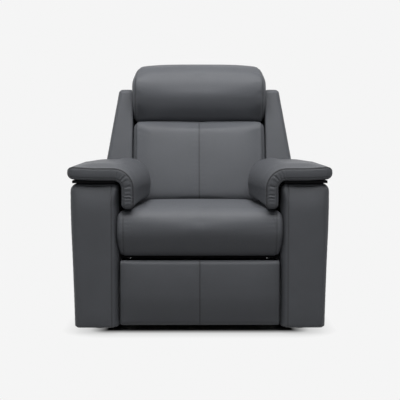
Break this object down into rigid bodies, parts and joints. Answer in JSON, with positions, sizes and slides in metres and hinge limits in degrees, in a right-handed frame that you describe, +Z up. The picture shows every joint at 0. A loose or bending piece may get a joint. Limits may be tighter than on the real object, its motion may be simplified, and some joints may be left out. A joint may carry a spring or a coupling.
{
  "type": "recliner armchair",
  "caption": "Dark grey leather power recliner seat with overstuffed arm pads, a head pillow, side wings, a folding leg rest and a reclining back.",
  "frame": {"origin": "middle of the bounding box on the floor", "axes": "+Z up, the front of the seat faces -Y, +X to the right of someone who looks at the front"},
  "size_m": [1.014, 0.92, 1.0679],
  "materials": {
    "leather_arm": "satin",
    "leather_pad": "satin",
    "leather_leg": "satin",
    "timber": "matte",
    "plywood": "matte",
    "black_board": "matte",
    "painted_steel": "satin",
    "bright_steel": "satin",
    "black_plastic": "matte",
    "pale_plastic": "matte"
  },
  "bodies": {
    "base": {"arm_cover_left": "leather_arm", "arm_cover_right": "leather_arm", "arm_frame_left": "timber", "arm_frame_right": "timber", "arm_pad_left": "leather_pad", "arm_pad_right": "leather_pad", "pad_board_left": "black_board", "pad_board_right": "black_board", "mechanism_plate_left": "painted_steel", "mechanism_plate_right": "painted_steel", "cross_tubes": "painted_steel", "frame_bolts": "bright_steel", "plate_pins": "bright_steel", "seat_side_rails": "timber", "seat_front_rail": "timber", "seat_rear_rail": "timber", "seat_springs": "bright_steel", "spring_clips": "bright_steel", "seat_cushion": "leather_pad", "glides": "black_plastic", "glide_screws": "bright_steel", "rear_rail": "timber", "rear_panel": "leather_arm", "power_box": "black_plastic", "power_inlet": "black_plastic", "leg_motor": "black_plastic", "leg_spindle": "bright_steel", "back_motor": "black_plastic", "back_spindle": "bright_steel", "control_bezel": "black_plastic", "switch_body": "black_plastic"},
    "drive": {"drive_links": "painted_steel", "drive_tube": "painted_steel", "drive_pins": "bright_steel"},
    "rear_link": {"rear_links": "painted_steel"},
    "carrier": {"carrier_links": "painted_steel", "carrier_pins": "bright_steel"},
    "steady": {"steady_links": "painted_steel"},
    "leg_rest": {"leg_brackets": "painted_steel", "bracket_pins": "bright_steel", "leg_board": "plywood", "leg_pad": "leather_leg"},
    "leg_nut": {"leg_nut": "pale_plastic"},
    "back_nut": {"back_nut": "pale_plastic"},
    "back": {"back_posts": "timber", "back_top_rail": "timber", "back_bottom_rail": "timber", "back_board": "plywood", "back_cushion": "leather_pad", "head_pillow": "leather_pad", "wing_left": "leather_arm", "wing_right": "leather_arm", "back_cover": "leather_arm", "back_brackets": "painted_steel", "back_crank": "painted_steel"},
    "button_leg_out": {"button_leg_out": "pale_plastic"},
    "button_leg_in": {"button_leg_in": "pale_plastic"},
    "button_recline": {"button_recline": "pale_plastic"},
    "button_upright": {"button_upright": "pale_plastic"}
  },
  "joints": [
    {"name": "leg_rest_fold", "type": "hinge", "parent": "base", "child": "drive", "pos_m": [0, -0.314, 0.24], "axis": [-1, 0, 0], "range_deg": [0, 92]},
    {"name": "rear_link_turn", "type": "hinge", "parent": "base", "child": "rear_link", "pos_m": [0, -0.28227, 0.21173], "axis": [-1, 0, 0], "range_deg": [0, 92]},
    {"name": "carrier_turn", "type": "hinge", "parent": "drive", "child": "carrier", "pos_m": [0, -0.21388, 0.07852], "axis": [-1, 0, 0], "range_deg": [-92, 0]},
    {"name": "steady_turn", "type": "hinge", "parent": "drive", "child": "steady", "pos_m": [0, -0.21147, 0.12446], "axis": [-1, 0, 0], "range_deg": [-92, 0]},
    {"name": "leg_rest_turn", "type": "hinge", "parent": "carrier", "child": "leg_rest", "pos_m": [0, -0.33919, 0.22267], "axis": [-1, 0, 0], "range_deg": [0, 92]},
    {"name": "leg_nut_run", "type": "slide", "parent": "base", "child": "leg_nut", "axis": [0, -1, 0], "range_m": [0, 0.0933]},
    {"name": "back_recline", "type": "hinge", "parent": "base", "child": "back", "pos_m": [0, 0.19, 0.37], "axis": [-1, 0, 0], "range_deg": [0, 32]},
    {"name": "back_nut_run", "type": "slide", "parent": "base", "child": "back_nut", "axis": [0, -1, 0], "range_m": [0, 0.05745]},
    {"name": "button_leg_out_press", "type": "slide", "parent": "base", "child": "button_leg_out", "axis": [1, 0, 0], "range_m": [0, 0.0015], "stiffness_N_per_m": 400, "springref_m": -0.0008},
    {"name": "button_leg_in_press", "type": "slide", "parent": "base", "child": "button_leg_in", "axis": [1, 0, 0], "range_m": [0, 0.0015], "stiffness_N_per_m": 400, "springref_m": -0.0008},
    {"name": "button_recline_press", "type": "slide", "parent": "base", "child": "button_recline", "axis": [1, 0, 0], "range_m": [0, 0.0015], "stiffness_N_per_m": 400, "springref_m": -0.0008},
    {"name": "button_upright_press", "type": "slide", "parent": "base", "child": "button_upright", "axis": [1, 0, 0], "range_m": [0, 0.0015], "stiffness_N_per_m": 400, "springref_m": -0.0008}
  ],
  "couplings": [
    {"joint": "rear_link_turn", "follows": "leg_rest_fold", "ratio": 1},
    {"joint": "carrier_turn", "follows": "leg_rest_fold", "ratio": -1},
    {"joint": "steady_turn", "follows": "leg_rest_fold", "ratio": -1},
    {"joint": "leg_rest_turn", "follows": "leg_rest_fold", "ratio": 1},
    {"joint": "leg_nut_run", "follows": "leg_rest_fold", "m_per_rad": 0.058042},
    {"joint": "back_nut_run", "follows": "back_recline", "m_per_rad": 0.10268}
  ]
}
